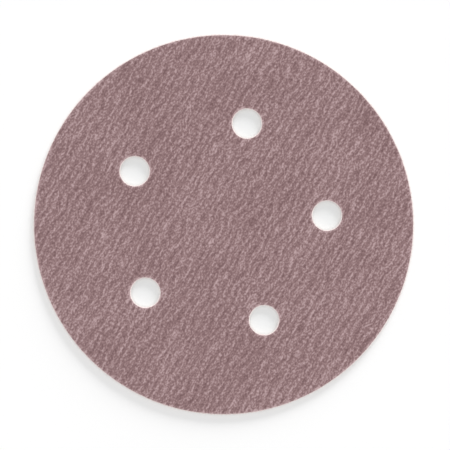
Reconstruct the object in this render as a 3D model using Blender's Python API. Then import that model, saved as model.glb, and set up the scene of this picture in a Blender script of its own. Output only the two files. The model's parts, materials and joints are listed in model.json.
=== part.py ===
"""Hook and loop sanding disc, 5 in across, with five dust holes.

Two webs are glued together and cut by one die: a coated abrasive sheet on top, and a loop cloth
under it that a sander's hook pad grips. The disc lies loop side down on z = 0 with its grain face up.
Its axis is Z, and the first dust hole is on +X. Lengths are in metres.
"""

import math

import bmesh
import bpy
from mathutils import Matrix

# The die that cuts both webs
DISC_DIAMETER = 0.127
HOLE_COUNT = 5
HOLE_DIAMETER = 0.0102
HOLE_CIRCLE_DIAMETER = 0.0695

# Coated abrasive sheet
PAPER_THICKNESS = 0.00032
GRAIN_COAT_THICKNESS = 0.00018

# Room for the laminating adhesive, a film that soaks into both webs
ADHESIVE_GAP = 0.0002

# Loop cloth: a knitted ground with rows of pile loops under it
GROUND_THICKNESS = 0.0003
PILE_HEIGHT = 0.0005
ROW_CREST_WIDTH = 0.0006
ROW_FLANK_RUN = 0.00025
ROW_VALLEY_WIDTH = 0.0004

# Both webs run through the die at this angle to the first hole, so the loop rows do too
WEB_ANGLE = math.radians(54)
# How far each web reaches past the die on every side before it is cut
WEB_MARGIN = 0.004

# Facets
RIM_SEGMENTS = 180
HOLE_SEGMENTS = 48
SHARP_ANGLE = math.radians(30)

# Heights of the faces, from the floor up
GROUND_LEVEL = PILE_HEIGHT
CLOTH_TOP = GROUND_LEVEL + GROUND_THICKNESS
SHEET_BOTTOM = CLOTH_TOP + ADHESIVE_GAP
SHEET_TOP = SHEET_BOTTOM + PAPER_THICKNESS + GRAIN_COAT_THICKNESS

WEB_WIDTH = DISC_DIAMETER + 2 * WEB_MARGIN


def clear_scene():
    """Remove every object that the file opened with."""
    for item in list(bpy.data.objects):
        bpy.data.objects.remove(item)


def linear_colour(hex_code):
    """Turn an sRGB hex colour into the linear RGBA that a shader takes."""
    channels = [int(hex_code[i : i + 2], 16) / 255 for i in (1, 3, 5)]
    return [c / 12.92 if c <= 0.04045 else ((c + 0.055) / 1.055) ** 2.4 for c in channels] + [1.0]


def make_material(name, hex_code, roughness):
    """Make a matt, non-metallic material."""
    material = bpy.data.materials.new(name)
    material.use_nodes = True
    shader = material.node_tree.nodes["Principled BSDF"]
    shader.inputs["Base Color"].default_value = linear_colour(hex_code)
    shader.inputs["Roughness"].default_value = roughness
    shader.inputs["Metallic"].default_value = 0.0
    return material


def extrude_faces(bm, vector):
    """Extrude the flat faces of bm along vector into one closed body whose faces point out."""
    swept = bmesh.ops.extrude_face_region(bm, geom=bm.faces[:])
    moved = [item for item in swept["geom"] if isinstance(item, bmesh.types.BMVert)]
    bmesh.ops.translate(bm, vec=vector, verts=moved)
    bmesh.ops.recalc_face_normals(bm, faces=bm.faces[:])


def add_object(name, bm):
    """Link a new object that holds the mesh of bm."""
    mesh = bpy.data.meshes.new(name)
    bm.to_mesh(mesh)
    bm.free()
    item = bpy.data.objects.new(name, mesh)
    bpy.context.collection.objects.link(item)
    return item


def make_die():
    """Make the solid that the die encloses: the disc's outline less its dust holes.

    It reaches past both webs, so that its walls are the only faces it gives them.
    """
    bm = bmesh.new()
    bmesh.ops.create_circle(bm, segments=RIM_SEGMENTS, radius=DISC_DIAMETER / 2)
    for number in range(HOLE_COUNT):
        turn = Matrix.Rotation(number * math.tau / HOLE_COUNT, 4, "Z")
        centre = turn @ Matrix.Translation((HOLE_CIRCLE_DIAMETER / 2, 0, 0))
        bmesh.ops.create_circle(bm, segments=HOLE_SEGMENTS, radius=HOLE_DIAMETER / 2, matrix=centre)
    bmesh.ops.triangle_fill(bm, edges=bm.edges[:], use_beauty=True)
    bmesh.ops.translate(bm, vec=(0, 0, -WEB_MARGIN), verts=bm.verts[:])
    extrude_faces(bm, (0, 0, SHEET_TOP + 2 * WEB_MARGIN))
    die = add_object("cutting_die", bm)
    die.hide_render = True
    die.display_type = "WIRE"
    return die


def make_web(name, section):
    """Extrude a web's cross section, given as (across, up) points, along the web's own run."""
    bm = bmesh.new()
    bm.faces.new([bm.verts.new((-WEB_WIDTH / 2, across, up)) for across, up in section])
    extrude_faces(bm, (WEB_WIDTH, 0, 0))
    bmesh.ops.rotate(bm, verts=bm.verts[:], matrix=Matrix.Rotation(WEB_ANGLE, 3, "Z"))
    return add_object(name, bm)


def sheet_section():
    """Cross section of the coated sheet: the paper with its grain coat bonded on top."""
    half = WEB_WIDTH / 2
    return [(-half, SHEET_BOTTOM), (half, SHEET_BOTTOM), (half, SHEET_TOP), (-half, SHEET_TOP)]


def cloth_section():
    """Cross section of the loop cloth: a flat top, and a flat-crested row of pile under each pitch.

    The middle row's crest is centred on the disc, and all crests touch the floor.
    """
    half_crest = ROW_CREST_WIDTH / 2
    half_row = half_crest + ROW_FLANK_RUN
    pitch = 2 * half_row + ROW_VALLEY_WIDTH
    rows_each_side = math.ceil(WEB_WIDTH / 2 / pitch)
    section = []
    for row in range(-rows_each_side, rows_each_side + 1):
        middle = row * pitch
        section += [
            (middle - half_row, GROUND_LEVEL),
            (middle - half_crest, 0.0),
            (middle + half_crest, 0.0),
            (middle + half_row, GROUND_LEVEL),
        ]
    edge = rows_each_side * pitch + half_row
    return section + [(edge, CLOTH_TOP), (-edge, CLOTH_TOP)]


def cut_web(web, die):
    """Cut the web to the die's outline and shade its round walls smooth."""
    cut = web.modifiers.new("die cut", "BOOLEAN")
    cut.operation = "INTERSECT"
    cut.solver = "EXACT"
    cut.object = die
    seen = web.evaluated_get(bpy.context.evaluated_depsgraph_get())
    mesh = bpy.data.meshes.new_from_object(seen)
    web.modifiers.remove(cut)
    web.data = mesh
    mesh.shade_smooth()
    mesh.set_sharp_from_angle(angle=SHARP_ANGLE)


def make_piece(name, section, die, material):
    """Make one web of the disc, cut to shape and with its own material."""
    piece = make_web(name, section)
    cut_web(piece, die)
    piece.data.materials.clear()
    piece.data.materials.append(material)
    return piece


def main():
    """Build the disc's two webs."""
    clear_scene()
    die = make_die()
    grain = make_material("resin-bonded grain on paper", "#9A7E7F", 0.9)
    nylon = make_material("knitted nylon loop cloth", "#D9D2CD", 0.95)
    make_piece("abrasive_sheet", sheet_section(), die, grain)
    make_piece("loop_backing", cloth_section(), die, nylon)


main()
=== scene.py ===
"""Looks of a hook and loop sanding disc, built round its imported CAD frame.

The disc is a laminate that one die cut in one stroke. From the top down it is a coated abrasive sheet,
a film of laminating adhesive, a knitted ground, and the pile loops of that ground, which a sander's hook
pad grips. It lies on its loops with the grain up, and the camera looks straight down on it.

Lengths are in metres unless a name ends in _mm. Angles are in radians, about Z, from the first dust hole.
The webs ran through the die along one direction, the run. "Along" is along the run, and "across" is
square to it.
"""

import json
import logging
import math
from dataclasses import dataclass
from enum import Enum

import bmesh
import bpy
import numpy as np
from mathutils import Matrix, Vector, noise

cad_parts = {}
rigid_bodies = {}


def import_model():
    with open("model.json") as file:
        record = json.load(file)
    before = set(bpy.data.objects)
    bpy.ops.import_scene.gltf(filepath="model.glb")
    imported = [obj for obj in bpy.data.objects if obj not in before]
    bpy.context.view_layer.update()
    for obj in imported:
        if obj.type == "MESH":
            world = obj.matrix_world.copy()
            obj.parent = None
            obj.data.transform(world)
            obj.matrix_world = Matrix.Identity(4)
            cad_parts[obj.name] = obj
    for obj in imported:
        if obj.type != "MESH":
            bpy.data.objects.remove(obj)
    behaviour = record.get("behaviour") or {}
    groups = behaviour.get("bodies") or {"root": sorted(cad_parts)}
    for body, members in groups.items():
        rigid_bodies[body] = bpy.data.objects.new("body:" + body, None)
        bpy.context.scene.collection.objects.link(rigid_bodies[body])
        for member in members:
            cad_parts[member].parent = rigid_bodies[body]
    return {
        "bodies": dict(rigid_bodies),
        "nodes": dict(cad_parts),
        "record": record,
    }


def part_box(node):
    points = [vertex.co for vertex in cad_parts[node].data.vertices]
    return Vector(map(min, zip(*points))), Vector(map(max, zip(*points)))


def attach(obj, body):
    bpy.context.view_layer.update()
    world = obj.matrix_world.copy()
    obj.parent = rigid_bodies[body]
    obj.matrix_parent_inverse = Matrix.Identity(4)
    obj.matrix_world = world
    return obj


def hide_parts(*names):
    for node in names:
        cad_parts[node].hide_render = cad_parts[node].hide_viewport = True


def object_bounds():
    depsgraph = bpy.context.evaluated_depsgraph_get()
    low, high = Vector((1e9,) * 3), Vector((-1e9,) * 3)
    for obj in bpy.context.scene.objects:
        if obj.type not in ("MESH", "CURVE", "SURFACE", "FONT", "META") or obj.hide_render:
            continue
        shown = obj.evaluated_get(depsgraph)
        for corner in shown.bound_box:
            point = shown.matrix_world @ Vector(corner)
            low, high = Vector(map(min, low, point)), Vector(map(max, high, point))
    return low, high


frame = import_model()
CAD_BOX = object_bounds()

LOG = logging.getLogger("sanding_disc")

MM = 0.001
# The run of both webs through the die
RUN = math.radians(54)
# Spacing of the rows of pile, which are two wales of the knit apart
ROW_PITCH_MM = 1.5
# Plan view map of the loops and filaments, for a texture bake, and its width against the disc's
PLAN_MAP = "OFBake"
PLAN_MAP_MARGIN = 1.02
# Attribute of the coated sheet that tells where its wash lies thick, and where its edge is painted paler
# with chip dust and a painted highlight
PALE = "pale"
# Nearly all of a noise texture's values lie between these
NOISE_LOW = 0.3
NOISE_HIGH = 0.7


class CadNode(Enum):
    """CAD nodes that the new pieces stand for."""

    SHEET = "abrasive_sheet"
    CLOTH = "loop_backing"


class Slot(Enum):
    """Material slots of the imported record."""

    ABRASIVE = "abrasive"
    LOOP_CLOTH = "loop_cloth"


def linear(hex_code: str) -> tuple[float, float, float, float]:
    """Turn an sRGB colour into the linear one that a shader takes.

    Args:
        hex_code: the colour as #RRGGBB.

    Returns:
        Red, green, blue and alpha.
    """
    channels = [int(hex_code[i : i + 2], 16) / 255 for i in (1, 3, 5)]
    red, green, blue = [c / 12.92 if c <= 0.04045 else ((c + 0.055) / 1.055) ** 2.4 for c in channels]
    return red, green, blue, 1.0


def add_node(
    tree: bpy.types.NodeTree, kind: str, sockets: dict | None = None, **settings: object
) -> bpy.types.Node:
    """Add a shader node with its settings, values and links.

    Args:
        tree: the node tree of a material or of the world.
        kind: the node's type name without its ShaderNode prefix.
        sockets: what each input socket, by name or number, gets: a value, or an output socket to link.
        settings: the node's own properties.

    Returns:
        The new node.
    """
    node = tree.nodes.new("ShaderNode" + kind)
    for name, value in settings.items():
        setattr(node, name, value)
    for key, value in (sockets or {}).items():
        if isinstance(value, bpy.types.NodeSocket):
            tree.links.new(value, node.inputs[key])
        else:
            node.inputs[key].default_value = value
    return node


def start_material(name: str) -> tuple[bpy.types.Material, bpy.types.NodeTree]:
    """Start a node material.

    Args:
        name: the finish's name.

    Returns:
        The material and its empty node tree.
    """
    material = bpy.data.materials.new(name)
    material.use_nodes = True
    material.node_tree.nodes.clear()
    return material, material.node_tree


def pattern_space(tree: bpy.types.NodeTree, along_mm: float, across_mm: float) -> bpy.types.NodeSocket:
    """Give coordinates in which one unit is one repeat of a pattern, laid along the run.

    Args:
        tree: the material's node tree.
        along_mm: length of a repeat along the run.
        across_mm: its length across the run.

    Returns:
        The socket that carries the coordinates.
    """
    place = add_node(tree, "TexCoord").outputs["Object"]
    repeat = (along_mm * MM, across_mm * MM, along_mm * MM)
    sockets = {"Vector": place, "Rotation": (0, 0, RUN), "Scale": repeat}
    return add_node(tree, "Mapping", sockets, vector_type="TEXTURE").outputs["Vector"]


def along_and_across(points: np.ndarray) -> np.ndarray:
    """Turn plan positions into distances along and across the run.

    Args:
        points: positions, one row each, X and Y first.

    Returns:
        Along and across, one row each.
    """
    turn = np.array([[math.cos(RUN), -math.sin(RUN)], [math.sin(RUN), math.cos(RUN)]])
    return points[:, :2] @ turn


def add_piece(
    name: str, mesh: bpy.types.Mesh, materials: list[bpy.types.Material]
) -> bpy.types.Object:
    """Link a finished mesh as a piece of the disc that rides on its one body.

    Args:
        name: the piece's name.
        mesh: its mesh, already in place.
        materials: its materials, in the order of the mesh's material numbers.

    Returns:
        The new object, at the origin.
    """
    piece = bpy.data.objects.new(name, mesh)
    bpy.context.collection.objects.link(piece)
    for material in materials:
        mesh.materials.append(material)
    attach(piece, next(iter(frame["bodies"])))
    LOG.info("%s: %d faces", name, len(mesh.polygons))
    return piece


@dataclass(frozen=True)
class CoatedGrain:
    """Fused alumina grain, electrostatically coated on paper, resin bonded, with a dry stearate wash.

    The wash dries pale on the ribs of the coating and leaves the mauve resin bare in the valleys, so the
    face shows short pinkish-white streaks on mauve. Grain and wash scatter light, so nothing shines.
    """

    valley: str = "#765A5C"
    face: str = "#937778"
    crest: str = "#C0A5A7"
    # How far the wash, with the coat's paler edge of chip dust and painted highlight, and the specks each
    # move the shade from valley to crest
    wash_and_highlight_share: float = 0.21
    speck_share: float = 1.68
    # Specks are clusters of grain that the wash has joined, a little longer along the run
    speck_along_mm: float = 0.8
    speck_across_mm: float = 0.58
    # The grain is about 0.08 mm across. It is drawn over twice as coarse, so that it shows
    bump_mm: float = 0.2
    bump_height_mm: float = 0.03
    roughness: float = 0.85
    specular: float = 0.2

    def build(self) -> bpy.types.Material:
        """Make the material.

        Returns:
            The material. It reads the mesh's attribute PALE.
        """
        material, tree = start_material("resin-bonded alumina grain with stearate wash")
        # The attribute holds the wash, and at the cut a paler edge of chip dust and painted highlight
        wash_and_highlight = add_node(tree, "Attribute", attribute_name=PALE).outputs["Fac"]
        space = pattern_space(tree, self.speck_along_mm, self.speck_across_mm)
        specks = add_node(tree, "TexNoise", {"Vector": space, "Scale": 1.0, "Detail": 1.0}).outputs["Fac"]
        # Noise is 0.5 on average, and so is the shade, which runs from valley over face to crest
        shade = 0.5 * (1 - self.speck_share)
        for source, share in ((wash_and_highlight, self.wash_and_highlight_share), (specks, self.speck_share)):
            sockets = {0: source, 1: share, 2: shade}
            shade = add_node(tree, "Math", sockets, operation="MULTIPLY_ADD").outputs[0]
        colour = linear(self.valley)
        for low, high, tone in ((0.0, 0.5, self.face), (0.5, 1.0, self.crest)):
            sockets = {"Value": shade, "From Min": low, "From Max": high}
            share = add_node(tree, "MapRange", sockets).outputs[0]
            tones = {0: share, 6: colour, 7: linear(tone)}
            colour = add_node(tree, "Mix", tones, data_type="RGBA").outputs[2]
        space = pattern_space(tree, self.bump_mm, self.bump_mm)
        grit = add_node(tree, "TexNoise", {"Vector": space, "Scale": 1.0, "Detail": 2.0}).outputs["Fac"]
        relief = {"Height": grit, "Distance": self.bump_height_mm * MM, "Strength": 1.0}
        normal = add_node(tree, "Bump", relief).outputs["Normal"]
        surface = {
            "Base Color": colour,
            "Roughness": self.roughness,
            "Specular IOR Level": self.specular,
            "Normal": normal,
        }
        shader = add_node(tree, "BsdfPrincipled", surface)
        add_node(tree, "OutputMaterial", {"Surface": shader.outputs[0]})
        return material


@dataclass(frozen=True)
class CutPaper:
    """Heavy latex paper, machine made, its edge sheared by the die.

    The die chips the grain off beside the cut, so a thin pinkish-white line of paper rings the face. The
    cut itself shows matt fibres in layers that lie flat in the sheet.
    """

    pale: str = "#F9F1EF"
    dark: str = "#E8DAD7"
    fibre_mm: float = 0.4
    layer_mm: float = 0.06
    bump_height_mm: float = 0.02
    roughness: float = 0.9
    specular: float = 0.2

    def build(self) -> bpy.types.Material:
        """Make the material.

        Returns:
            The material.
        """
        material, tree = start_material("die-cut latex paper")
        place = add_node(tree, "TexCoord").outputs["Object"]
        layers = (self.fibre_mm * MM, self.fibre_mm * MM, self.layer_mm * MM)
        sockets = {"Vector": place, "Scale": layers}
        space = add_node(tree, "Mapping", sockets, vector_type="TEXTURE").outputs[0]
        fibres = add_node(tree, "TexNoise", {"Vector": space, "Scale": 1.0, "Detail": 3.0}).outputs["Fac"]
        sockets = {"Value": fibres, "From Min": NOISE_LOW, "From Max": NOISE_HIGH}
        share = add_node(tree, "MapRange", sockets).outputs[0]
        tones = {0: share, 6: linear(self.dark), 7: linear(self.pale)}
        colour = add_node(tree, "Mix", tones, data_type="RGBA").outputs[2]
        normal = add_node(tree, "Bump", {"Height": fibres, "Distance": self.bump_height_mm * MM}).outputs[0]
        surface = {
            "Base Color": colour,
            "Roughness": self.roughness,
            "Specular IOR Level": self.specular,
            "Normal": normal,
        }
        shader = add_node(tree, "BsdfPrincipled", surface)
        add_node(tree, "OutputMaterial", {"Surface": shader.outputs[0]})
        return material


@dataclass(frozen=True)
class LaminatingAdhesive:
    """Hot-melt acrylic adhesive, roller coated and set between the webs.

    It is milky and slightly shiny, with cloudy patches where it soaked into the cloth.
    """

    milky: str = "#CFC6B6"
    cloudy: str = "#B5AB99"
    patch_mm: float = 0.9
    roughness: float = 0.4

    def build(self) -> bpy.types.Material:
        """Make the material.

        Returns:
            The material.
        """
        material, tree = start_material("roller-coated acrylic adhesive")
        space = pattern_space(tree, self.patch_mm, self.patch_mm)
        patches = add_node(tree, "TexNoise", {"Vector": space, "Scale": 1.0, "Detail": 2.0}).outputs["Fac"]
        tones = {0: patches, 6: linear(self.cloudy), 7: linear(self.milky)}
        colour = add_node(tree, "Mix", tones, data_type="RGBA").outputs[2]
        surface = {"Base Color": colour, "Roughness": self.roughness}
        shader = add_node(tree, "BsdfPrincipled", surface)
        add_node(tree, "OutputMaterial", {"Surface": shader.outputs[0]})
        return material


@dataclass(frozen=True)
class KnittedNylon:
    """Undyed nylon, warp knitted, heat set.

    Slanting stitches lean left and right in turn and make chevrons between the rows of pile. There the
    ground is thinnest and is painted greyer: partly the adhesive behind it, partly painted shade of the
    pile rows beside it.
    """

    thread: str = "#F1ECE8"
    gap: str = "#9B9189"
    wale_mm: float = ROW_PITCH_MM / 2
    course_mm: float = 0.5
    # How far a stitch slants within its wale, in courses
    slant: float = 0.8
    # How far into a stitch its thread is full, of the 0.5 to its middle
    flank: float = 0.4
    # How far the ground between the rows is painted greyer, for the adhesive behind it and as painted shade
    # of the pile rows
    thin_and_shade_share: float = 0.7
    bump_height_mm: float = 0.08
    bump_strength: float = 0.8
    roughness: float = 0.7
    sheen: float = 0.2

    def build(self) -> bpy.types.Material:
        """Make the material.

        Returns:
            The material.
        """
        material, tree = start_material("warp-knitted nylon ground")
        space = pattern_space(tree, self.course_mm, self.wale_mm)
        split = add_node(tree, "SeparateXYZ", {0: space}).outputs
        # A triangle wave across the run slants the stitches of each half wale the other way
        lean = add_node(tree, "Math", {0: split["Y"], 1: 0.5}, operation="PINGPONG").outputs[0]
        sockets = {0: lean, 1: 2 * self.slant, 2: split["X"]}
        phase = add_node(tree, "Math", sockets, operation="MULTIPLY_ADD").outputs[0]
        stitch = add_node(tree, "Math", {0: phase, 1: 0.5}, operation="PINGPONG").outputs[0]
        sockets = {"Value": stitch, "From Min": 0.0, "From Max": self.flank}
        thread = add_node(tree, "MapRange", sockets, interpolation_type="SMOOTHSTEP").outputs[0]
        # The rows of pile are two wales apart, and the first is centred on the disc
        # Between the rows the tone falls towards the gap's: the thin ground shows the adhesive, plus
        # painted shade of the pile rows
        valley = add_node(tree, "Math", {0: split["Y"], 1: 1.0}, operation="PINGPONG").outputs[0]
        sockets = {0: valley, 1: -self.thin_and_shade_share, 2: 1.0}
        thick_and_unshaded = add_node(tree, "Math", sockets, operation="MULTIPLY_ADD").outputs[0]
        share = add_node(tree, "Math", {0: thread, 1: thick_and_unshaded}, operation="MULTIPLY").outputs[0]
        tones = {0: share, 6: linear(self.gap), 7: linear(self.thread)}
        colour = add_node(tree, "Mix", tones, data_type="RGBA").outputs[2]
        relief = {"Height": thread, "Distance": self.bump_height_mm * MM, "Strength": self.bump_strength}
        normal = add_node(tree, "Bump", relief).outputs[0]
        surface = {
            "Base Color": colour,
            "Roughness": self.roughness,
            "Sheen Weight": self.sheen,
            "Normal": normal,
        }
        shader = add_node(tree, "BsdfPrincipled", surface)
        add_node(tree, "OutputMaterial", {"Surface": shader.outputs[0]})
        return material


@dataclass(frozen=True)
class NylonYarn:
    """Undyed multifilament nylon, drawn, textured and knitted into loops.

    The filaments are clear but fine, so the yarn reads as soft white with a faint satin, a little darker
    where it is packed.
    """

    light: str = "#F4F0EC"
    dark: str = "#DAD2CC"
    patch_mm: float = 0.7
    roughness: float = 0.55
    sheen: float = 0.25

    def build(self) -> bpy.types.Material:
        """Make the material.

        Returns:
            The material.
        """
        material, tree = start_material("drawn nylon pile yarn")
        place = add_node(tree, "TexCoord").outputs["Object"]
        # Flat in Z, so that a loop's two sides agree in plan
        repeat = (self.patch_mm * MM, self.patch_mm * MM, 1.0)
        sockets = {"Vector": place, "Scale": repeat}
        space = add_node(tree, "Mapping", sockets, vector_type="TEXTURE").outputs[0]
        patches = add_node(tree, "TexNoise", {"Vector": space, "Scale": 1.0, "Detail": 2.0}).outputs["Fac"]
        sockets = {"Value": patches, "From Min": NOISE_LOW, "From Max": NOISE_HIGH}
        share = add_node(tree, "MapRange", sockets).outputs[0]
        tones = {0: share, 6: linear(self.dark), 7: linear(self.light)}
        colour = add_node(tree, "Mix", tones, data_type="RGBA").outputs[2]
        surface = {"Base Color": colour, "Roughness": self.roughness, "Sheen Weight": self.sheen}
        shader = add_node(tree, "BsdfPrincipled", surface)
        add_node(tree, "OutputMaterial", {"Surface": shader.outputs[0]})
        return material


@dataclass(frozen=True)
class DieOutline:
    """The line that the die cut through both webs, in plan: the rim and the dust holes.

    Attributes:
        centres: centres of the rim and of the holes, one row each, the rim first.
        radii: their radii.
        sides: 1 for the rim, whose inside is web, and -1 for a hole, whose outside is.
    """

    centres: np.ndarray
    radii: np.ndarray
    sides: np.ndarray

    @classmethod
    def from_frame(cls) -> "DieOutline":
        """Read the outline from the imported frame.

        Returns:
            The outline.
        """
        low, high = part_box(CadNode.SHEET.value)
        boxes = np.array([opening["box_m"] for opening in frame["record"]["physics"]["openings"]])
        holes = boxes[:, :, :2].mean(axis=1)
        # An opening's box lies inside its hole, so the hole's radius comes from the mesh
        mesh = frame["nodes"][CadNode.SHEET.value].data
        corners = np.array([vertex.co.xy for vertex in mesh.vertices])
        hole_radius = np.hypot(*(corners - holes[0]).T).min()
        return cls(
            centres=np.vstack([np.zeros(2), holes]),
            radii=np.array([(high[0] - low[0]) / 2] + [hole_radius] * len(holes)),
            sides=np.array([1.0] + [-1.0] * len(holes)),
        )

    def nearest(self, points: np.ndarray) -> tuple[np.ndarray, np.ndarray]:
        """Measure each point from the nearest cut.

        Args:
            points: positions, one row each, X and Y first.

        Returns:
            How far in from the nearest cut each point is, negative where the die took the web away, and
            the plan direction there that points off the web.
        """
        offsets = points[None, :, :2] - self.centres[:, None]
        spans = np.hypot(offsets[..., 0], offsets[..., 1])
        insets = self.sides[:, None] * (self.radii[:, None] - spans)
        chosen = insets.argmin(axis=0)
        rows = np.arange(len(points))
        away = offsets[chosen, rows] * (self.sides[chosen] / spans[chosen, rows])[:, None]
        return insets[chosen, rows], away

    def moved_to(self, points: np.ndarray, inset: float | np.ndarray) -> np.ndarray:
        """Move points square to the nearest cut until they lie a set distance in from it.

        Args:
            points: positions, one row each, X and Y first.
            inset: the distance in from the cut, for all or for each.

        Returns:
            The plan positions, one row each.
        """
        now, away = self.nearest(points)
        return points[:, :2] + away * (now - inset)[:, None]


@dataclass
class CutWeb:
    """One web of the laminate, cut to the die's outline.

    Attributes:
        outline: the die's outline.
        cell: side of the web's mesh cells.
        closest: how far in from the cut a cell's middle lies at least, in cells.
        eased, easing: how many cells in from the cut the mesh is evened out, and in how many passes.
        ragged: how far the cut wanders in and out.
        ragged_length: how long the wander's waves are.
        ragged_layer: where the wander is read from the noise.
        frayed: how much further a line wanders for each metre that it lies off the cut.
        sharp: edges that turn by more than this stay sharp.
    """

    outline: DieOutline
    cell: float = 0.4 * MM
    closest: float = 0.1
    eased: int = 3
    easing: int = 4
    ragged: float = 0.0
    ragged_length: float = 0.5 * MM
    ragged_layer: float = 3.7
    frayed: float = 0.0
    sharp: float = math.radians(50)

    def cut_face(self, inset: float) -> bmesh.types.BMesh:
        """Make the web's flat face at Z 0, a grid along the run that ends on the outline.

        Args:
            inset: how far in from the outline the face ends.

        Returns:
            The open mesh.
        """
        # The grid reaches two cells past the rim
        half = self.outline.radii[0] + 2 * self.cell
        count = round(2 * half / self.cell)
        bm = bmesh.new()
        turn = Matrix.Rotation(RUN, 4, "Z")
        bmesh.ops.create_grid(bm, x_segments=count, y_segments=count, size=half, matrix=turn)
        middles = np.array([face.calc_center_median() for face in bm.faces])
        gaps, _ = self.outline.nearest(middles)
        closest = inset + self.closest * self.cell
        cut_off = [face for face, gap in zip(bm.faces, gaps) if gap < closest]
        bmesh.ops.delete(bm, geom=cut_off, context="FACES")
        # A tab hangs on by one side at most
        tabs = [face for face in bm.faces if sum(edge.is_boundary for edge in face.edges) > 2]
        bmesh.ops.delete(bm, geom=tabs, context="FACES")
        self.set_plan([vert for vert in bm.verts if vert.is_boundary], inset)
        gaps, _ = self.outline.nearest(np.array([vert.co for vert in bm.verts]))
        eased = inset + self.eased * self.cell
        rows = [vert for vert, gap in zip(bm.verts, gaps) if gap < eased and not vert.is_boundary]
        # Each pass moves a point half way to the middle of its neighbours
        for _ in range(self.easing):
            bmesh.ops.smooth_vert(bm, verts=rows, factor=0.5, use_axis_x=True, use_axis_y=True)
        return bm

    def set_plan(self, verts: list[bmesh.types.BMVert], inset: float) -> None:
        """Move vertices in plan to a set distance in from the outline, give or take the cut's wander.

        Args:
            verts: the vertices.
            inset: the distance.
        """
        points = np.array([vert.co for vert in verts])
        on_cut = self.outline.moved_to(points, 0.0) / self.ragged_length
        wander = np.array([noise.noise(Vector((x, y, self.ragged_layer))) for x, y in on_cut])
        wandered = inset + (self.ragged + self.frayed * abs(inset)) * wander
        for vert, place in zip(verts, self.outline.moved_to(points, wandered)):
            vert.co.xy = place

    def add_wall(self, bm: bmesh.types.BMesh, steps: list[tuple[float, float, int]]) -> None:
        """Carry the cut edge from the face to the web's other side, and close the web there.

        Args:
            bm: the web's open face.
            steps: for each ring of the wall, its distance in from the outline, its height and the number
                of the material up to it.
        """
        edges = [edge for edge in bm.edges if edge.is_boundary]
        for inset, level, material in steps:
            swept = bmesh.ops.extrude_edge_only(bm, edges=edges)["geom"]
            verts = [item for item in swept if isinstance(item, bmesh.types.BMVert)]
            self.set_plan(verts, inset)
            for vert in verts:
                vert.co.z = level
            for item in swept:
                if isinstance(item, bmesh.types.BMFace):
                    item.material_index = material
            edges = [item for item in swept if isinstance(item, bmesh.types.BMEdge) and item.is_boundary]
        closed = bmesh.ops.triangle_fill(bm, edges=edges, use_beauty=True)["geom"]
        for item in closed:
            if isinstance(item, bmesh.types.BMFace):
                item.material_index = steps[-1][2]
        bmesh.ops.recalc_face_normals(bm, faces=bm.faces[:])

    def to_mesh(self, bm: bmesh.types.BMesh, name: str) -> bpy.types.Mesh:
        """Turn the finished bmesh into a smooth-shaded mesh.

        Args:
            bm: the closed web, which is freed.
            name: the mesh's name.

        Returns:
            The mesh.
        """
        mesh = bpy.data.meshes.new(name)
        bm.to_mesh(mesh)
        bm.free()
        mesh.shade_smooth()
        mesh.set_sharp_from_angle(angle=self.sharp)
        return mesh


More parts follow.
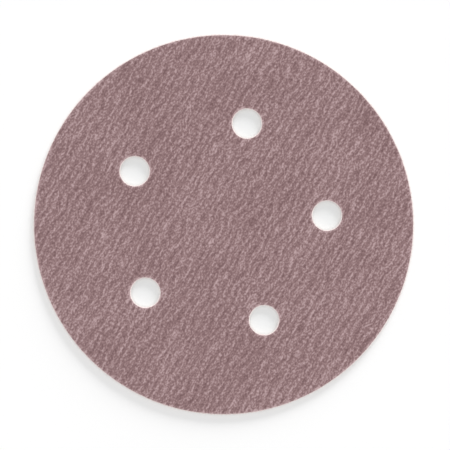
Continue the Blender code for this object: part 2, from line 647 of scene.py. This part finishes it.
@dataclass
class CoatedSheet(CutWeb):
    """The coated abrasive sheet: paper with a ribbed coat of grain, which the die chipped off at the cut.

    Attributes:
        rib_pitch: mean spacing of the coating's ribs.
        wander: how far a rib winds off its line, in pitches.
        strength, fading: mean strength of a rib, and how far it swells and fades.
        patches: how far the wash's thickness drifts, for ribs of strength 1.
        wander_space, fade_space, patch_space: how far along and across the run each of these reaches.
        wander_layer, fade_layer, patch_layer: where each is read from the noise, so that they differ.
        rib_height, clump_height, grit_height: relief of the ribs, of clumps of grain and of the grain.
        highest: the most that the relief rises above the CAD model's face.
        clump, clump_layer: size of a clump, and where clumps are read from the noise.
        seed: seed of the grains' heights.
        coat: thickness of the grain coat at the cut.
        chipped: how far in from the cut the coat is chipped off.
        spread: how far the sheared paper spreads past the die's line.
        roll: how far its edge is rolled down there, as a share of the coat.
        dust, dust_and_highlight_reach: how pale the coat is painted at its edge, partly chip dust and
            partly a painted highlight of the rolled edge, and how far in that lies.
    """

    cell: float = 0.39 * MM
    ragged: float = 0.04 * MM
    frayed: float = 0.6
    sharp: float = math.radians(30)
    rib_pitch: float = 2.45 * MM
    wander: float = 0.8
    wander_space: tuple[float, float] = (7.0 * MM, 3.8 * MM)
    strength: float = 0.7
    fading: float = 1.45
    fade_space: tuple[float, float] = (2.3 * MM, 1.4 * MM)
    patches: float = 0.45
    patch_space: tuple[float, float] = (15 * MM, 12 * MM)
    wander_layer: float = 9.2
    fade_layer: float = 31.1
    patch_layer: float = 40.7
    rib_height: float = 0.02 * MM
    clump_height: float = 0.02 * MM
    grit_height: float = 0.004 * MM
    highest: float = 0.03 * MM
    clump: float = 0.6 * MM
    clump_layer: float = 5.9
    seed: int = 5
    coat: float = 0.12 * MM
    chipped: float = 0.03 * MM
    spread: float = 0.26 * MM
    roll: float = 0.1
    # The coat's edge is painted paler: chip dust, and a painted highlight of the rolled edge
    dust_and_highlight: float = 1.6
    dust_and_highlight_reach: float = 0.8 * MM

    def rib(self, along: float, across: float) -> float:
        """Tell how high a place lies on the coating's ribs.

        Args:
            along: the place along the run.
            across: the place across the run.

        Returns:
            From about -1 in a valley to 1 on a crest.
        """
        waves = []
        for (long, wide), layer in (
            (self.wander_space, self.wander_layer),
            (self.fade_space, self.fade_layer),
            (self.patch_space, self.patch_layer),
        ):
            waves.append(noise.noise(Vector((along / long, across / wide, layer))))
        winding, fade, patch = waves
        strength = max(self.strength + self.fading * fade, 0.0)
        turns = across / self.rib_pitch + self.wander * winding
        return strength * math.sin(math.tau * turns) + self.patches * patch

    def raise_relief(self, bm: bmesh.types.BMesh, level: float) -> None:
        """Raise the face's ribs, clumps and grains.

        Args:
            bm: the face.
            level: the height of the CAD model's face.
        """
        places = along_and_across(np.array([vert.co for vert in bm.verts]))
        grains = np.random.default_rng(self.seed).normal(0, self.grit_height, len(places))
        for vert, (along, across), grain in zip(bm.verts, places, grains):
            clump = noise.noise(Vector((along / self.clump, across / self.clump, self.clump_layer)))
            relief = self.rib_height * self.rib(along, across) + self.clump_height * clump + grain
            vert.co.z = level + min(relief, self.highest)

    def spread_wash_and_highlight(self, mesh: bpy.types.Mesh) -> None:
        """Write the attribute that tells where the wash lies thick, and where the coat's edge is painted
        paler with chip dust and a painted highlight.

        Args:
            mesh: the finished sheet.
        """
        points = np.array([vertex.co for vertex in mesh.vertices])
        gaps, _ = self.outline.nearest(points)
        # Paler near the cut: chip dust, and a painted highlight of the rolled edge
        dust_and_highlight = self.dust_and_highlight * np.clip(1 - gaps / self.dust_and_highlight_reach, 0, 1)
        shades = [self.rib(*place) + dust_and_highlight_here for place, dust_and_highlight_here in zip(along_and_across(points), dust_and_highlight)]
        pale = mesh.attributes.new(PALE, "FLOAT", "POINT")
        pale.data.foreach_set("value", shades)

    def build(self) -> None:
        """Build the sheet, which takes its CAD node's place."""
        low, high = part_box(CadNode.SHEET.value)
        bm = self.cut_face(self.chipped)
        self.raise_relief(bm, high[2])
        # The face is the sheet's first material, and the cut paper is its second
        paper = 1
        paper_top = high[2] - self.coat
        rings = [
            (0.0, paper_top, paper),
            (-self.spread, paper_top - self.roll * self.coat, paper),
            (-self.spread, low[2], paper),
        ]
        self.add_wall(bm, rings)
        mesh = self.to_mesh(bm, "coated_sheet")
        self.spread_wash_and_highlight(mesh)
        piece = add_piece("coated_sheet", mesh, [CoatedGrain().build(), CutPaper().build()])
        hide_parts(CadNode.SHEET.value)


@dataclass
class AdhesiveFilm(CutWeb):
    """The film of adhesive that fills the gap between the sheet and the cloth.

    Attributes:
        rim_segments, hole_segments: facets of the film's cuts.
        shy: how far in from the outline the film ends.
    """

    ragged: float = 0.06 * MM
    rim_segments: int = 720
    hole_segments: int = 96
    shy: float = 0.02 * MM

    def build(self) -> bpy.types.Object:
        """Build the film.

        Returns:
            Its object.
        """
        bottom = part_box(CadNode.CLOTH.value)[1][2]
        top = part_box(CadNode.SHEET.value)[0][2]
        bm = bmesh.new()
        segments = [self.rim_segments] + [self.hole_segments] * (len(self.outline.radii) - 1)
        for centre, radius, count in zip(self.outline.centres, self.outline.radii, segments):
            place = Matrix.Translation((*centre, top))
            bmesh.ops.create_circle(bm, segments=count, radius=radius, matrix=place)
        self.set_plan(bm.verts[:], self.shy)
        bmesh.ops.triangle_fill(bm, edges=bm.edges[:], use_beauty=True)
        self.add_wall(bm, [(self.shy, bottom, 0)])
        mesh = self.to_mesh(bm, "laminating_film")
        return add_piece("laminating_film", mesh, [LaminatingAdhesive().build()])


@dataclass
class KnittedGround(CutWeb):
    """The knitted ground of the loop cloth, which swells a little past the cut.

    Attributes:
        thickness: the ground's thickness.
        proud: how far the cut threads swell past the outline.
        rounding: how much of the thickness is rounded above and below there, as a share of it.
        ripple, ripple_height: length across the run and height of the ripple that the rows of pile give it.
    """

    cell: float = 0.6 * MM
    ragged: float = 0.06 * MM
    thickness: float = 0.3 * MM
    proud: float = 0.02 * MM
    rounding: float = 0.25
    ripple: float = ROW_PITCH_MM * MM
    ripple_height: float = 0.03 * MM

    def build(self) -> bpy.types.Object:
        """Build the ground.

        Returns:
            Its object.
        """
        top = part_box(CadNode.CLOTH.value)[1][2]
        bottom = top - self.thickness
        bm = self.cut_face(0.0)
        places = along_and_across(np.array([vert.co for vert in bm.verts]))
        for vert, across in zip(bm.verts, places[:, 1]):
            vert.co.z = bottom - self.ripple_height * math.cos(math.tau * across / self.ripple)
        rounded = self.rounding * self.thickness
        rings = [(-self.proud, bottom + rounded, 0), (-self.proud, top - rounded, 0), (0.0, top, 0)]
        self.add_wall(bm, rings)
        mesh = self.to_mesh(bm, "knitted_ground")
        return add_piece("knitted_ground", mesh, [KnittedNylon().build()])


def scatter(name: str, seed: bmesh.types.BMesh, turns: np.ndarray, places: np.ndarray) -> bpy.types.Mesh:
    """Copy one small shape many times, each copy turned, sized and placed by itself.

    Args:
        name: the mesh's name.
        seed: the shape, which is freed.
        turns: a 3x3 matrix for each copy.
        places: a position for each copy.

    Returns:
        One mesh that holds all copies.
    """
    mesh = bpy.data.meshes.new(name + "_seed")
    seed.to_mesh(mesh)
    seed.free()
    copier = bpy.data.objects.new(name + "_seed", mesh)
    bpy.context.collection.objects.link(copier)
    array = copier.modifiers.new("copies", "ARRAY")
    array.count = len(places)
    array.use_relative_offset = False
    seen = copier.evaluated_get(bpy.context.evaluated_depsgraph_get())
    copies = bpy.data.meshes.new_from_object(seen)
    bpy.data.objects.remove(copier)
    bpy.data.meshes.remove(mesh)
    corners = np.empty(3 * len(copies.vertices), np.float32)
    copies.vertices.foreach_get("co", corners)
    shapes = corners.reshape(len(places), -1, 3)
    placed = np.einsum("nij,nvj->nvi", turns, shapes) + places[:, None]
    # Nothing reaches below what the disc lies on
    placed[..., 2] = np.maximum(placed[..., 2], 0.0)
    copies.vertices.foreach_set("co", placed.astype(np.float32).ravel())
    copies.name = name
    copies.shade_smooth()
    return copies


def add_plan_map(mesh: bpy.types.Mesh, half_width: float) -> None:
    """Give a mesh a UV map that is its plan view.

    Args:
        mesh: the mesh.
        half_width: half the width that the map covers.
    """
    plan = np.array([vertex.co.xy for vertex in mesh.vertices]) / (2 * half_width) + 0.5
    corners = np.empty(len(mesh.loops), np.int32)
    mesh.loops.foreach_get("vertex_index", corners)
    layer = mesh.uv_layers.new(name=PLAN_MAP)
    layer.uv.foreach_set("vector", plan[corners].astype(np.float32).ravel())


@dataclass
class LoopPile:
    """The rows of pile loops that stand under the ground, two loops abreast in each row.

    Attributes:
        outline: the die's outline.
        ground: thickness of the ground that they stand in.
        row_pitch, abreast, course: spacing of the rows, of a row's two loops and of loops along it.
        spread: width of a loop at its feet.
        yarn: radius of its yarn.
        sides, steps: facets round the yarn and along the loop.
        footing: how deep its feet stand in the ground.
        shy: how far in from the outline the outer loops stand.
        slip: how far a loop strays from its place, in courses.
        yaw_spread, tilt_spread: how far the loops turn off the run, and how far they lean, in heights.
        heights: the lowest and the highest loop, as shares of the room that they have.
        sizes: the narrowest and the widest loop, as shares of the mean.
        seed: seed of these irregularities.
        pieces: how many pieces the pile is split into.
    """

    outline: DieOutline
    ground: float
    row_pitch: float = ROW_PITCH_MM * MM
    abreast: float = 0.38 * MM
    course: float = 0.85 * MM
    spread: float = 0.62 * MM
    yarn: float = 0.09 * MM
    sides: int = 3
    steps: int = 5
    footing: float = 0.06 * MM
    shy: float = 0.3 * MM
    slip: float = 0.12
    yaw_spread: float = 0.35
    tilt_spread: float = 0.22
    heights: tuple[float, float] = (0.84, 1.0)
    sizes: tuple[float, float] = (0.85, 1.2)
    seed: int = 11
    pieces: int = 4

    def loop(self) -> bmesh.types.BMesh:
        """Make one loop as an arch of yarn that hangs from its two feet at Z 0, 1 unit high.

        Returns:
            The closed mesh.
        """
        bm = bmesh.new()
        foot = Matrix.Translation((self.spread / 2, 0, 0))
        bmesh.ops.create_circle(bm, segments=self.sides, radius=self.yarn, matrix=foot)
        ring = bm.verts[:] + bm.edges[:]
        bmesh.ops.spin(bm, geom=ring, axis=(0, 1, 0), cent=(0, 0, 0), angle=math.pi, steps=self.steps)
        bmesh.ops.holes_fill(bm, edges=[edge for edge in bm.edges if edge.is_boundary], sides=self.sides)
        depth = -min(vert.co.z for vert in bm.verts)
        bmesh.ops.scale(bm, vec=(1, 1, 1 / depth), verts=bm.verts[:])
        bmesh.ops.recalc_face_normals(bm, faces=bm.faces[:])
        return bm

    def places(self, rng: np.random.Generator) -> np.ndarray:
        """Set out the loops over the web.

        Args:
            rng: the source of their irregular spacing.

        Returns:
            Plan positions, one row each, row of pile by row of pile.
        """
        half = self.outline.radii[0]
        rows = np.arange(-math.floor(half / self.row_pitch), half / self.row_pitch) * self.row_pitch
        courses = np.arange(-half, half, self.course)
        across = (rows[:, None] + np.array([-0.5, 0.5]) * self.abreast).ravel()
        # The two loops abreast are half a course apart along the row
        along = courses[None] + np.where(np.arange(len(across)) % 2, 0.5, 0.0)[:, None] * self.course
        grid = np.stack([along, np.broadcast_to(across[:, None], along.shape)], axis=-1).reshape(-1, 2)
        grid += rng.uniform(-self.slip, self.slip, grid.shape) * self.course
        turn = np.array([[math.cos(RUN), math.sin(RUN)], [-math.sin(RUN), math.cos(RUN)]])
        plan = grid @ turn
        gaps, _ = self.outline.nearest(plan)
        return plan[gaps > self.shy + self.spread / 2]

    def build(self) -> list[bpy.types.Object]:
        """Build the pile.

        Returns:
            Its pieces.
        """
        rng = np.random.default_rng(self.seed)
        plan = self.places(rng)
        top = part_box(CadNode.CLOTH.value)[1][2] - self.ground + self.footing
        count = len(plan)
        yaw = RUN + rng.normal(0, self.yaw_spread, count)
        height = top * rng.uniform(*self.heights, count)
        size = rng.uniform(*self.sizes, count)
        tilt = rng.normal(0, self.tilt_spread, (count, 2))
        turns = np.zeros((count, 3, 3))
        turns[:, 0, 0] = turns[:, 1, 1] = size * np.cos(yaw)
        turns[:, 1, 0] = size * np.sin(yaw)
        turns[:, 0, 1] = -turns[:, 1, 0]
        turns[:, 2, 2] = height
        turns[:, :2, 2] = tilt * height[:, None]
        places = np.column_stack([plan, np.full(count, top)])
        yarn = NylonYarn().build()
        made = []
        for number, part in enumerate(np.array_split(np.arange(count), self.pieces), start=1):
            mesh = scatter(f"loop_pile_{number}", self.loop(), turns[part], places[part])
            add_plan_map(mesh, PLAN_MAP_MARGIN * self.outline.radii[0])
            made.append(add_piece(mesh.name, mesh, [yarn]))
        return made


@dataclass
class CutFuzz:
    """The fine ends of filament that stand out of the ground's cut edge, round the rim and the holes.

    Attributes:
        outline: the die's outline.
        ground: thickness of the ground that they stand in.
        proud: how far the ground swells past the outline.
        spacing: mean distance between filaments along the cut.
        length: their mean length.
        filament: their radius, about twice the real one so that they show.
        sides: facets round a filament.
        curl: for each ring along a filament, its reach and rise in lengths, and its girth against the last.
        yaw_spread, tilt_spread: how far they turn off square to the cut, and rise or fall, in lengths.
        sizes: the shortest and the longest filament, as shares of the mean.
        depths: how deep in the ground the lowest and the highest stand, as shares of its thickness.
        seed: seed of these irregularities.
    """

    outline: DieOutline
    ground: float
    proud: float
    spacing: float = 0.22 * MM
    length: float = 0.34 * MM
    filament: float = 0.02 * MM
    sides: int = 3
    curl: tuple[tuple[float, float, float], ...] = ((0.35, 0.02, 0.9), (0.7, 0.1, 0.8), (1.0, 0.24, 0.4))
    yaw_spread: float = 0.6
    tilt_spread: float = 0.3
    sizes: tuple[float, float] = (0.5, 1.5)
    depths: tuple[float, float] = (0.8, 0.2)
    seed: int = 3

    def strand(self) -> bmesh.types.BMesh:
        """Make one filament along X, of the mean length, curling up to a fine tip.

        Returns:
            The closed mesh.
        """
        bm = bmesh.new()
        turn = Matrix.Rotation(math.pi / 2, 4, "Y")
        bmesh.ops.create_circle(bm, segments=self.sides, radius=self.filament, matrix=turn)
        edges = bm.edges[:]
        for reach, rise, taper in self.curl:
            swept = bmesh.ops.extrude_edge_only(bm, edges=edges)["geom"]
            verts = [item for item in swept if isinstance(item, bmesh.types.BMVert)]
            middle = sum((vert.co for vert in verts), Vector()) / len(verts)
            tip = self.length * Vector((reach, 0, rise))
            bmesh.ops.translate(bm, verts=verts, vec=tip - middle)
            bmesh.ops.scale(bm, verts=verts, vec=(1, taper, taper), space=Matrix.Translation(-tip))
            edges = [item for item in swept if isinstance(item, bmesh.types.BMEdge) and item.is_boundary]
        bmesh.ops.holes_fill(bm, edges=[edge for edge in bm.edges if edge.is_boundary], sides=self.sides)
        bmesh.ops.recalc_face_normals(bm, faces=bm.faces[:])
        return bm

    def build(self) -> bpy.types.Object:
        """Build the filaments.

        Returns:
            Their one object.
        """
        rng = np.random.default_rng(self.seed)
        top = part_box(CadNode.CLOTH.value)[1][2]
        roots, headings = [], []
        for centre, radius, side in zip(self.outline.centres, self.outline.radii, self.outline.sides):
            around = rng.uniform(0, math.tau, round(math.tau * radius / self.spacing))
            spokes = np.stack([np.cos(around), np.sin(around)], axis=1)
            roots.append(centre + spokes * radius)
            headings.append(around + (0 if side > 0 else math.pi))
        plan = np.vstack(roots)
        count = len(plan)
        yaw = np.concatenate(headings) + rng.normal(0, self.yaw_spread, count)
        size = rng.uniform(*self.sizes, count)
        turns = np.zeros((count, 3, 3))
        turns[:, 0, 0], turns[:, 1, 0] = size * np.cos(yaw), size * np.sin(yaw)
        turns[:, 0, 1], turns[:, 1, 1] = -np.sin(yaw), np.cos(yaw)
        turns[:, 2, 0] = size * rng.normal(0, self.tilt_spread, count)
        turns[:, 2, 2] = 1.0
        lowest, highest = (top - depth * self.ground for depth in self.depths)
        level = rng.uniform(lowest, highest, count)
        places = np.column_stack([plan, level])
        mesh = scatter("cut_fuzz", self.strand(), turns, places)
        add_plan_map(mesh, PLAN_MAP_MARGIN * self.outline.radii[0])
        return add_piece("cut_fuzz", mesh, [NylonYarn().build()])


@dataclass
class LoopCloth:
    """The loop cloth: its knitted ground, its pile and the fuzz at its cut edge.

    Attributes:
        outline: the die's outline.
    """

    outline: DieOutline

    def build(self, film: bpy.types.Object) -> None:
        """Args:
            film: the adhesive film that the cloth is bonded to. It is not used.
        """
        knit = KnittedGround(self.outline)
        ground = knit.build()
        pile = LoopPile(self.outline, knit.thickness).build()
        fuzz = CutFuzz(self.outline, knit.thickness, knit.proud).build()
        for piece in (ground, *pile, fuzz):
            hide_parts(CadNode.CLOTH.value)


@dataclass
class Studio:
    """A white table under soft light, and a camera that looks straight down.

    A lamp's share is the part of full light that it gives a white face that lies flat.

    Attributes:
        shaded, painted_hole_shade_reach: painted shade on the table in the disc's holes: its tone, and how
            far from the disc's axis that patch ends.
        disc_centre_px, disc_radius_px, picture_px: where the disc lies in the photograph, and its width.
        disc_turn: how far the first hole is turned from the picture's X axis.
        lens_mm, sensor_mm: the camera's lens.
        near, far: where its view begins and ends.
        floor_half: half the table's width.
        sky: light of the world from all round.
        overhead_share, overhead_angle: the soft lamp overhead.
        low_share, low_angle, low_heading, low_elevation: the lamp that throws the shadow.
        under_share, under_angle: the lamp below, which stands for the table's glow on the loops.
    """

    # Painted shade of the table in the disc's holes, and where that patch ends
    painted_hole_shade: str = "#F8F9F9"
    painted_hole_shade_reach: float = 50 * MM
    disc_centre_px: tuple[float, float] = (223.15, 224.07)
    disc_radius_px: float = 189.56
    picture_px: float = 450
    disc_turn: float = math.radians(5)
    lens_mm: float = 140
    sensor_mm: float = 36
    near: float = 0.01
    far: float = 10
    floor_half: float = 3.0
    sky: float = 0.5
    overhead_share: float = 0.28
    overhead_angle: float = math.radians(50)
    low_share: float = 0.225
    low_angle: float = math.radians(28)
    low_heading: float = math.radians(62)
    low_elevation: float = math.radians(14)
    under_share: float = 0.5
    under_angle: float = math.radians(25)

    def add_table(self) -> None:
        """Lay the white table top, which only the camera sees, and only from above.

        In the disc's holes it is painted greyer, as painted shade for the holes. That patch is round and
        ends under the disc.
        """
        bm = bmesh.new()
        bmesh.ops.create_grid(bm, x_segments=1, y_segments=1, size=self.floor_half)
        mesh = bpy.data.meshes.new("table_top")
        bm.to_mesh(mesh)
        bm.free()
        table = bpy.data.objects.new("table_top", mesh)
        bpy.context.collection.objects.link(table)
        material, tree = start_material("matt white table top")
        place = add_node(tree, "TexCoord").outputs["Object"]
        # Within the reach the table's white is painted greyer: painted shade in the disc's holes
        reach = add_node(tree, "VectorMath", {0: place}, operation="LENGTH").outputs["Value"]
        sockets = {0: reach, 1: self.painted_hole_shade_reach}
        open_share = add_node(tree, "Math", sockets, operation="GREATER_THAN").outputs[0]
        tones = {0: open_share, 6: linear(self.painted_hole_shade), 7: (1, 1, 1, 1)}
        tone = add_node(tree, "Mix", tones, data_type="RGBA").outputs[2]
        white = add_node(tree, "BsdfDiffuse", {"Color": tone}).outputs[0]
        clear = add_node(tree, "BsdfTransparent").outputs[0]
        camera = add_node(tree, "LightPath").outputs["Is Camera Ray"]
        back = add_node(tree, "NewGeometry").outputs["Backfacing"]
        sockets = {0: camera, 1: back}
        shown = add_node(tree, "Math", sockets, operation="SUBTRACT", use_clamp=True).outputs[0]
        surface = add_node(tree, "MixShader", {0: shown, 1: clear, 2: white}).outputs[0]
        add_node(tree, "OutputMaterial", {"Surface": surface})
        mesh.materials.append(material)

    def add_world(self) -> None:
        """Light the disc softly from all round, and show white behind it."""
        world = bpy.data.worlds.new("studio")
        bpy.context.scene.world = world
        world.use_nodes = True
        tree = world.node_tree
        tree.nodes.clear()
        path = add_node(tree, "LightPath").outputs
        seen = path["Is Camera Ray"]
        for ray in ("Is Glossy Ray", "Is Transmission Ray"):
            seen = add_node(tree, "Math", {0: seen, 1: path[ray]}, operation="MAXIMUM").outputs[0]
        strength = add_node(tree, "Mix", {0: seen, 2: self.sky, 3: 1.0}, data_type="FLOAT").outputs[0]
        sky = add_node(tree, "Background", {"Color": (1, 1, 1, 1), "Strength": strength}).outputs[0]
        add_node(tree, "OutputWorld", {"Surface": sky})

    def add_lamp(self, name: str, share: float, angle: float, heading: float, elevation: float) -> None:
        """Hang one broad lamp.

        Args:
            name: the lamp's name.
            share: the part of full light that it gives a face that lies flat, up or down.
            angle: how wide the lamp looks from the disc.
            heading: its direction in plan.
            elevation: its height above the table's plane.
        """
        light = bpy.data.lights.new(name, "SUN")
        light.energy = share * math.pi / abs(math.sin(elevation))
        light.angle = angle
        lamp = bpy.data.objects.new(name, light)
        flat = math.cos(elevation)
        towards = Vector((flat * math.cos(heading), flat * math.sin(heading), math.sin(elevation)))
        lamp.rotation_mode = "QUATERNION"
        lamp.rotation_quaternion = towards.to_track_quat("Z", "Y")
        bpy.context.collection.objects.link(lamp)

    def add_camera(self) -> None:
        """Hang the camera over the table, framed and turned as the photograph is."""
        top = CAD_BOX[1][2]
        pixel = CAD_BOX[1][0] / self.disc_radius_px
        height = self.picture_px * pixel * self.lens_mm / self.sensor_mm
        middle = (self.picture_px - 1) / 2
        off_middle = Vector((middle - self.disc_centre_px[0], self.disc_centre_px[1] - middle))
        off_middle.rotate(Matrix.Rotation(-self.disc_turn, 2))
        data = bpy.data.cameras.new("camera")
        data.lens = self.lens_mm
        data.sensor_width = self.sensor_mm
        data.clip_start = self.near
        data.clip_end = self.far
        camera = bpy.data.objects.new("camera", data)
        camera.location = (*(off_middle * pixel), top + height)
        camera.rotation_euler = (0, 0, -self.disc_turn)
        bpy.context.collection.objects.link(camera)
        bpy.context.scene.camera = camera

    def build(self) -> None:
        """Set up the table, the light and the camera."""
        self.add_table()
        self.add_world()
        self.add_lamp("overhead_lamp", self.overhead_share, self.overhead_angle, 0, math.pi / 2)
        self.add_lamp("low_lamp", self.low_share, self.low_angle, self.low_heading, self.low_elevation)
        self.add_lamp("under_lamp", self.under_share, self.under_angle, 0, -math.pi / 2)
        self.add_camera()
        bpy.context.scene.view_settings.view_transform = "Standard"


def main() -> None:
    """Build the disc from the grain down, and the studio round it."""
    logging.basicConfig(level=logging.INFO, format="%(name)s %(message)s")
    outline = DieOutline.from_frame()
    CoatedSheet(outline).build()
    film = AdhesiveFilm(outline).build()
    LoopCloth(outline).build(film)
    Studio().build()


if __name__ == "__main__":
    main()
